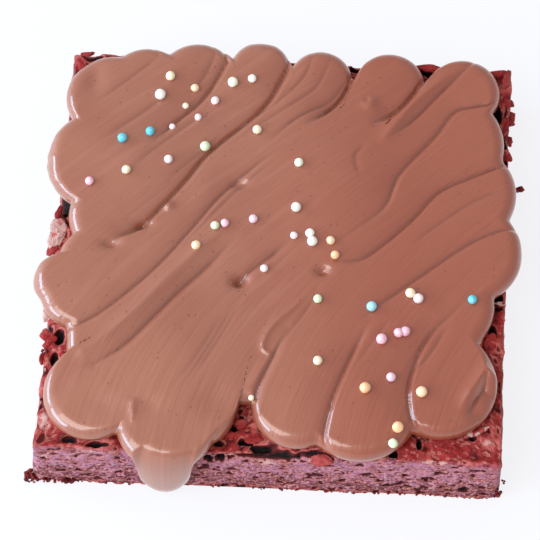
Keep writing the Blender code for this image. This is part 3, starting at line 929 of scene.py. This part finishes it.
def icing_material(colours):
    """Milk chocolate: satin, with fine marks along the strokes and tiny air pits; painted shade darkens the strokes'
    lines, the marks, the pits and the right side.
    """
    material, shade, shader = new_material("milk_chocolate_icing")
    place = shade.node("ShaderNodeTexCoord").outputs["Object"]
    flow = shade.attribute("flow", "Vector")
    fine = shade.node("ShaderNodeMapping", {"Vector": flow, "Scale": (150, 7, 0)}).outputs[0]
    wide = shade.node("ShaderNodeMapping", {"Vector": flow, "Scale": (42, 4, 0)}).outputs[0]
    marks = shade.noise(fine, 1.0, 4.0, 0.6)
    bands = shade.noise(wide, 1.0, 2.0, 0.5)
    cloud = shade.noise(place, 75.0, 2.0, 0.5)
    dots, grain = specks(shade, 900.0, 0.16)
    painted_crease_shade = shade.attribute("painted_crease_shade")
    colour = shade.mix(shade.ramp(cloud, 0.3, 0.7), colours.icing_dark, colours.icing)
    colour = shade.mix(shade.math("MULTIPLY", shade.ramp(bands, 0.5, 0.7), 0.5), colour, colours.icing_pale)
    # painted shade: darker and redder towards the right side, away from the light
    sideways = shade.node("ShaderNodeSeparateXYZ", {0: place}).outputs[0]
    colour = shade.mix(
        shade.math("MULTIPLY", shade.ramp(sideways, -0.012, 0.020), 0.85), colour, colours.icing_painted_shade_right
    )
    # painted shade in the fine marks along the strokes
    mark_shade = shade.math("MULTIPLY", shade.ramp(marks, 0.40, 0.28), 0.16)
    colour = shade.mix(mark_shade, colour, colours.icing_painted_crease_shade)
    # painted shade down the strokes' lines
    colour = shade.mix(shade.math("MULTIPLY", painted_crease_shade, 0.75, True), colour, colours.icing_painted_crease_shade)
    # painted shade in the tiny air pits
    colour = shade.mix(shade.math("MULTIPLY", dots, 0.45), colour, colours.icing_painted_crease_shade)
    shade.tree.links.new(colour, shader.inputs["Base Color"])
    rough = shade.node("ShaderNodeMapRange", {"Value": grain, "To Min": 0.30, "To Max": 0.42}).outputs[0]
    shade.tree.links.new(rough, shader.inputs["Roughness"])
    shader.inputs["Specular IOR Level"].default_value = 0.5
    shader.inputs["Coat Weight"].default_value = 0.9
    shader.inputs["Coat Roughness"].default_value = 0.08
    relief = shade.math("MULTIPLY", shade.ramp(marks, 0.2, 0.6), 0.5)
    relief = shade.math("ADD", relief, shade.math("MULTIPLY", bands, 0.5))
    relief = shade.math("ADD", relief, shade.math("MULTIPLY", grain, 0.10))
    relief = shade.math("SUBTRACT", relief, shade.math("MULTIPLY", dots, 0.5))
    bump = shade.node("ShaderNodeBump", {"Height": relief, "Distance": 0.00012, "Strength": 0.8})
    shade.tree.links.new(bump.outputs[0], shader.inputs["Normal"])
    return material


def crumb_material(colours):
    """Moist crumb: mauve on the front cut face, brown at the sides and back, maroon on the crust, painted shade
    along the foot, near black painted shade in the pores, cracks and crust hollows, and a warm lip round each pore that
    is partly painted highlight."""
    name = "brownie_crumb"
    if name in bpy.data.materials:
        return bpy.data.materials[name]
    material, shade, shader = new_material(name)
    place = shade.node("ShaderNodeTexCoord").outputs["Object"]
    hollow, crust = shade.attribute("hollow"), shade.attribute("crust")
    raised, pale = shade.attribute("raised"), shade.attribute("pale")
    dots = specks(shade, 1500.0, 0.35)[0]
    fine = shade.noise(place, 1900.0, 4.0, 0.62)
    mottle = shade.noise(place, 620.0, 4.0, 0.6)
    patch = shade.noise(place, 230.0, 3.0, 0.5)
    height = shade.node("ShaderNodeSeparateXYZ", {0: place}).outputs[2]
    low = shade.math("MULTIPLY", shade.ramp(height, 0.0095, 0.0015), 0.09)
    damp = shade.math(
        "SUBTRACT", shade.math("ADD", shade.math("MULTIPLY", fine, 0.6), shade.math("MULTIPLY", mottle, 0.4)),
        low,
    )
    tint = shade.ramp(shade.noise(place, 330.0, 3.0, 0.6), 0.50, 0.64)
    front = shade.ramp(shade.node("ShaderNodeSeparateXYZ", {0: place}).outputs[1], -0.0345, -0.0354)
    colour = shade.mix(front, colours.crumb_side, colours.crumb)
    colour = shade.mix(shade.math("MULTIPLY", tint, 0.8), colour, colours.crumb_warm)
    colour = shade.mix(shade.ramp(damp, 0.39, 0.49), colours.crumb_dark, colour)
    # painted shade along the foot, where the block meets the floor, in the crust's colour
    colour = shade.mix(shade.math("MULTIPLY", shade.ramp(height, 0.0016, 0.0004), 0.8), colour, colours.crust)
    dry = shade.math(
        "MULTIPLY", shade.ramp(fine, 0.54, 0.66), shade.math("ADD", shade.math("MULTIPLY", front, 0.5), 0.3)
    )
    colour = shade.mix(dry, colour, colours.pale)
    skin = shade.mix(shade.ramp(damp, 0.34, 0.52), colours.pore, colours.crust)
    dry = shade.math("MULTIPLY", shade.ramp(raised, 0.55, 0.85), shade.ramp(patch, 0.40, 0.58))
    skin = shade.mix(shade.math("MULTIPLY", dry, 0.75), skin, colours.crust_pale)
    # painted shade in the low places of the crust
    skin = shade.mix(shade.ramp(raised, 0.46, 0.22), skin, colours.pore)
    colour = shade.mix(crust, colour, skin)
    bright = shade.math("MULTIPLY", pale, shade.ramp(mottle, 0.36, 0.56))
    colour = shade.mix(shade.ramp(bright, 0.1, 0.6), colour, colours.pale)
    # a warm lip round each pore: partly the crumb's colour, partly painted highlight on the pore edges
    edge = shade.math("MULTIPLY", shade.ramp(hollow, 0.01, 0.08), shade.ramp(hollow, 0.26, 0.12))
    colour = shade.mix(shade.math("MULTIPLY", edge, 0.55), colour, colours.lip)
    # painted shade inside the pores and hollows, near black where they are deepest
    colour = shade.mix(shade.ramp(hollow, 0.14, 0.34), colour, colours.pore)
    colour = shade.mix(shade.ramp(hollow, 0.34, 0.70), colour, colours.deep)
    # painted shade in tiny pits
    colour = shade.mix(shade.math("MULTIPLY", dots, 0.75), colour, colours.pore)
    shade.tree.links.new(colour, shader.inputs["Base Color"])
    rough = shade.node("ShaderNodeMapRange", {"Value": mottle, "To Min": 0.45, "To Max": 0.80}).outputs[0]
    shade.tree.links.new(rough, shader.inputs["Roughness"])
    shader.inputs["Specular IOR Level"].default_value = 0.2
    relief = shade.math("ADD", shade.math("MULTIPLY", fine, 0.7), shade.math("MULTIPLY", mottle, 0.9))
    relief = shade.math("SUBTRACT", relief, shade.math("MULTIPLY", dots, 0.5))
    bump = shade.node("ShaderNodeBump", {"Height": relief, "Distance": 0.0005, "Strength": 0.9})
    shade.tree.links.new(bump.outputs[0], shader.inputs["Normal"])
    return material


def pearl_material():
    """Sugar pearls: each with its own colour, faintly mottled, with a soft shine."""
    material, shade, shader = new_material("sugar_pearls")
    place = shade.node("ShaderNodeTexCoord").outputs["Object"]
    tint = shade.attribute("tint", "Color")
    mottle = shade.noise(place, 2200.0, 3.0, 0.6)
    colour = shade.mix(shade.math("MULTIPLY", shade.ramp(mottle, 0.45, 0.75), 0.25), tint, (1.0, 0.95, 0.9))
    shade.tree.links.new(colour, shader.inputs["Base Color"])
    shader.inputs["Roughness"].default_value = 0.32
    bump = shade.node("ShaderNodeBump", {"Height": mottle, "Distance": 0.0002, "Strength": 0.3})
    shade.tree.links.new(bump.outputs[0], shader.inputs["Normal"])
    return material


# --- what a user may change -----------------------------------------------------------------------


def colour_property(name, description, default):
    return FloatVectorProperty(
        name=name, description=description, default=default, subtype="COLOR", min=0, max=1
    )


class BrownieSizes(bpy.types.PropertyGroup):
    icing_grid: IntProperty(
        name="Icing grid", description="Points along each side of the icing's top", default=250, min=40,
        max=260
    )
    pearl_scale: FloatProperty(
        name="Pearl size", description="Size of the sugar pearls against the real ones", default=1.0, min=0.5,
        max=1.5
    )
    pearl_sink: FloatProperty(
        name="Pearl sink", description="Share of a pearl's radius that is in the icing", default=0.35, min=0,
        max=1
    )
    camera_distance: FloatProperty(
        name="Camera distance", description="From the camera to the brownie", default=0.401, unit="LENGTH",
        min=0.1
    )
    lens: FloatProperty(
        name="Lens", description="Focal length in millimetres", default=163.7, min=20, max=300
    )


class BrownieColours(bpy.types.PropertyGroup):
    icing: colour_property("Icing", "Milk chocolate", (0.342, 0.111, 0.062))
    icing_dark: colour_property("Icing, dark", "Milk chocolate where it is thick", (0.312, 0.092, 0.050))
    icing_pale: colour_property("Icing, pale", "Streaks along the strokes", (0.375, 0.131, 0.080))
    # painted shade towards the right side, away from the light
    icing_painted_shade_right: colour_property("Icing, rich", "Milk chocolate towards the right side", (0.300, 0.064, 0.029))
    # painted shade down the strokes' lines, in the fine marks and in the air pits
    icing_painted_crease_shade: colour_property("Icing, lines", "Down the lines and pits", (0.14, 0.032, 0.017))
    crumb: colour_property("Crumb", "Cut face of the cake", (0.45, 0.165, 0.240))
    crumb_side: colour_property("Crumb, sides", "Cut faces at the sides and back", (0.27, 0.082, 0.068))
    crumb_warm: colour_property("Crumb, warm", "Redder places on the cut face", (0.34, 0.080, 0.075))
    crumb_dark: colour_property("Crumb, dark", "Damp parts of the cut face", (0.13, 0.018, 0.032))
    # also the painted shade along the foot
    crust: colour_property("Crust", "Top skin of the cake", (0.33, 0.024, 0.024))
    crust_pale: colour_property("Crust, pale", "Dry flakes of the top skin", (0.62, 0.135, 0.120))
    pale: colour_property("Dry crumb", "Pale dry places at the broken edges", (0.60, 0.34, 0.30))
    # partly the crumb's colour, partly painted highlight on the pore edges
    lip: colour_property("Pore lip", "Edges round the pores", (0.60, 0.20, 0.16))
    # painted shade inside the pores, in tiny pits and in the crust's low places; also the crust's dark mottling
    pore: colour_property("Pores", "Inside the pores", (0.085, 0.005, 0.005))
    # near black painted shade deep in the pores and cracks
    deep: colour_property("Cracks", "Deep inside", (0.004, 0.001, 0.001))


class MakeBrownieStage(bpy.types.Operator):
    """Set up the pale floor, the soft lights and the camera"""

    bl_idname = "brownie.make_stage"
    bl_label = "Stage"

    def execute(self, context):
        sizes = context.scene.brownie_sizes
        self.make_floor()
        self.make_lights(context.scene)
        self.make_camera(context.scene, sizes)
        context.scene.view_settings.view_transform = "Standard"
        return {"FINISHED"}

    def make_floor(self):
        half = 1.5
        mesh = bpy.data.meshes.new("floor")
        mesh.from_pydata(
            [(-half, -half, 0), (half, -half, 0), (half, half, 0), (-half, half, 0)], [], [(0, 1, 2, 3)]
        )
        floor = bpy.data.objects.new("floor", mesh)
        bpy.context.scene.collection.objects.link(floor)
        material, shade, shader = new_material("pale_floor")
        grain = shade.noise(shade.node("ShaderNodeTexCoord").outputs["Object"], 30.0, 2.0)
        shade.tree.links.new(
            shade.mix(grain, (0.115, 0.115, 0.12), (0.125, 0.125, 0.13)), shader.inputs["Base Color"]
        )
        shader.inputs["Roughness"].default_value = 0.6
        shader.inputs["Emission Color"].default_value = (0.97, 0.97, 1.0, 1)
        shader.inputs["Emission Strength"].default_value = 0.83
        mesh.materials.append(material)

    def make_lights(self, scene):
        world = bpy.data.worlds.new("studio")
        world.use_nodes = True
        world.node_tree.nodes["Background"].inputs["Color"].default_value = (0.95, 0.97, 1.0, 1)
        world.node_tree.nodes["Background"].inputs["Strength"].default_value = 0.66
        scene.world = world
        # name, place, width, height, power in watts, colour
        lamps = (
            ("window_left", (-0.66, 0.14, 0.25), 0.40, 0.26, 3.9, (0.48, 0.76, 1.0)),
            ("window_front", (-0.61, -0.31, 0.25), 0.40, 0.28, 4.2, (0.48, 0.76, 1.0)),
            ("overhead", (-0.34, -0.30, 0.66), 0.50, 0.50, 3.6, (1.0, 0.98, 0.94)),
        )
        for name, place, width, height, power, colour in lamps:
            lamp = bpy.data.lights.new(name, "AREA")
            lamp.shape = "RECTANGLE"
            lamp.size, lamp.size_y = width, height
            lamp.energy = power
            lamp.color = colour
            holder = bpy.data.objects.new(name, lamp)
            holder.matrix_world = Matrix.Translation(place) @ Vector(place).to_track_quat("Z", "Y").to_matrix().to_4x4()
            scene.collection.objects.link(holder)

    def make_camera(self, scene, sizes):
        """Looks down at 66 degrees, turned 2.3 degrees about its own axis."""
        tilt, roll = math.radians(66), math.radians(2.3)
        aim = Vector((-1.65, -3.3, CAKE_HEIGHT)) * MM
        back = Vector((0, -math.cos(tilt), math.sin(tilt)))
        level = Vector((1, 0, 0))
        upright = back.cross(level)
        right = level * math.cos(roll) + upright * math.sin(roll)
        up = upright * math.cos(roll) - level * math.sin(roll)
        camera = bpy.data.objects.new("camera", bpy.data.cameras.new("camera"))
        camera.data.lens = sizes.lens
        camera.data.sensor_width = 36
        camera.data.clip_start = 0.01
        turned = Matrix((right, up, back)).transposed().to_4x4()
        camera.matrix_world = Matrix.Translation(aim + back * sizes.camera_distance) @ turned
        scene.collection.objects.link(camera)
        scene.camera = camera


class MakeBrownieCrumb(bpy.types.Operator):
    """Make the porous crumb block with its crackled crust and its cracks"""

    bl_idname = "brownie.make_crumb"
    bl_label = "Crumb block"

    def execute(self, context):
        points, faces, attributes = block_mesh(BLOCK_COLUMNS)
        material = crumb_material(context.scene.brownie_colours)
        piece = make_piece("crumb_block", points, faces, material, attributes)
        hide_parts("brownie_cake")
        return {"FINISHED"}


class MakeBrownieFlakes(bpy.types.Operator):
    """Lay the loose flakes of crust round the cut edges"""

    bl_idname = "brownie.make_flakes"
    bl_label = "Crust flakes"

    def execute(self, context):
        parts, tones = [], []
        for number, (x, y, z, long, wide, thick, turn, tilt, tone) in enumerate(FLAKES):
            turned = Matrix.Rotation(math.radians(turn), 3, "Z") @ Matrix.Rotation(math.radians(tilt), 3, "X")
            part = lumpy_ball((x, y, z), (long, wide, thick), number + 90, 0.42, 14, 26, np.array(turned))
            parts.append(part)
            tones.append(np.full(len(part[0]), tone))
        points, faces = gather(parts)
        tone = np.concatenate(tones)
        layers = {
            "hollow": 0 * tone, "crust": 1 + 0 * tone, "raised": 0.35 + 0.5 * tone,
            "pale": 0.8 * (tone > 0.85),
        }
        make_piece(
            "crust_flakes", points, faces, crumb_material(context.scene.brownie_colours), layers
        )
        return {"FINISHED"}


class MakeBrownieCrumbs(bpy.types.Operator):
    """Scatter the loose crumbs along the foot and the broken edges"""

    bl_idname = "brownie.make_crumbs"
    bl_label = "Loose crumbs"

    def execute(self, context):
        parts = []
        for cluster, (x, y, z, wide, long, tall, count, largest) in enumerate(CRUMBS):
            cell = np.stack([np.arange(count), np.full(count, cluster), np.zeros(count, int)], axis=-1)
            chance = [lattice(cell, seed) for seed in range(200, 206)]
            for i in range(count):
                radius = largest * (0.4 + 0.6 * chance[3][i] ** 2)
                middle = [x + wide * (2 * chance[0][i] - 1), y + long * (2 * chance[1][i] - 1)]
                middle.append(max(radius * 0.6, z + tall * (2 * chance[2][i] - 1)))
                shape = (radius, radius * (0.6 + 0.4 * chance[4][i]), radius * (0.6 + 0.4 * chance[5][i]))
                parts.append(lumpy_ball(middle, shape, 300 + 40 * cluster + i, 0.45, 7, 10))
        points, faces = gather(parts)
        points[:, 2] = np.maximum(points[:, 2], 0)
        same = np.zeros(len(points))
        layers = {"hollow": same, "crust": same + 1, "raised": same + 0.5, "pale": same}
        make_piece(
            "loose_crumbs", points, faces, crumb_material(context.scene.brownie_colours), layers
        )
        return {"FINISHED"}


class MakeBrownieIcing(bpy.types.Operator):
    """Make the swirled milk-chocolate icing with its lobed rim and drip"""

    bl_idname = "brownie.make_icing"
    bl_label = "Icing"

    def execute(self, context):
        points, faces, attributes = icing_mesh(context.scene.brownie_sizes.icing_grid)
        material = icing_material(context.scene.brownie_colours)
        piece = make_piece("icing_layer", points, faces, material, attributes)
        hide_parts("chocolate_icing")
        return {"FINISHED"}


class MakeBrowniePearls(bpy.types.Operator):
    """Scatter the sugar pearls where they lie on the icing"""

    bl_idname = "brownie.make_pearls"
    bl_label = "Sugar pearls"

    def execute(self, context):
        sizes = context.scene.brownie_sizes
        parts, tints = [], []
        for number, (x, y, diameter, colour) in enumerate(PEARLS):
            radius = diameter / 2 * sizes.pearl_scale
            height = icing_height(np.array([x]), np.array([y]))[0][0]
            centre = (x, y, height + radius * (1 - sizes.pearl_sink))
            part = lumpy_ball(centre, (radius,) * 3, number + 1, 0.05, 12, 18)
            parts.append(part)
            tints.append(np.tile(PEARL_COLOURS[colour], (len(part[0]), 1)))
        points, faces = gather(parts)
        make_piece("sugar_pearls", points, faces, pearl_material(), {"tint": np.vstack(tints)})
        return {"FINISHED"}


class BrowniePanel(bpy.types.Panel):
    """Lists the brownie's pieces and what can be changed"""

    bl_idname = "VIEW3D_PT_brownie"
    bl_label = "Chocolate Brownie"
    bl_space_type = "VIEW_3D"
    bl_region_type = "UI"
    bl_category = "Brownie"

    def draw(self, context):
        for maker in MAKERS:
            self.layout.operator(maker.bl_idname)
        for group in (context.scene.brownie_sizes, context.scene.brownie_colours):
            box = self.layout.box()
            for key in group.__annotations__:
                box.prop(group, key)


MAKERS = (
    MakeBrownieStage, MakeBrownieCrumb, MakeBrownieFlakes, MakeBrownieCrumbs, MakeBrownieIcing,
    MakeBrowniePearls,
)
CLASSES = (BrownieSizes, BrownieColours, *MAKERS, BrowniePanel)


def register():
    for entry in CLASSES:
        bpy.utils.register_class(entry)
    bpy.types.Scene.brownie_sizes = PointerProperty(type=BrownieSizes)
    bpy.types.Scene.brownie_colours = PointerProperty(type=BrownieColours)


def unregister():
    del bpy.types.Scene.brownie_colours
    del bpy.types.Scene.brownie_sizes
    for entry in reversed(CLASSES):
        bpy.utils.unregister_class(entry)


def main():
    register()
    bpy.ops.brownie.make_stage()
    bpy.ops.brownie.make_crumb()
    bpy.ops.brownie.make_flakes()
    bpy.ops.brownie.make_crumbs()
    bpy.ops.brownie.make_icing()
    bpy.ops.brownie.make_pearls()


if __name__ == "__main__":
    main()
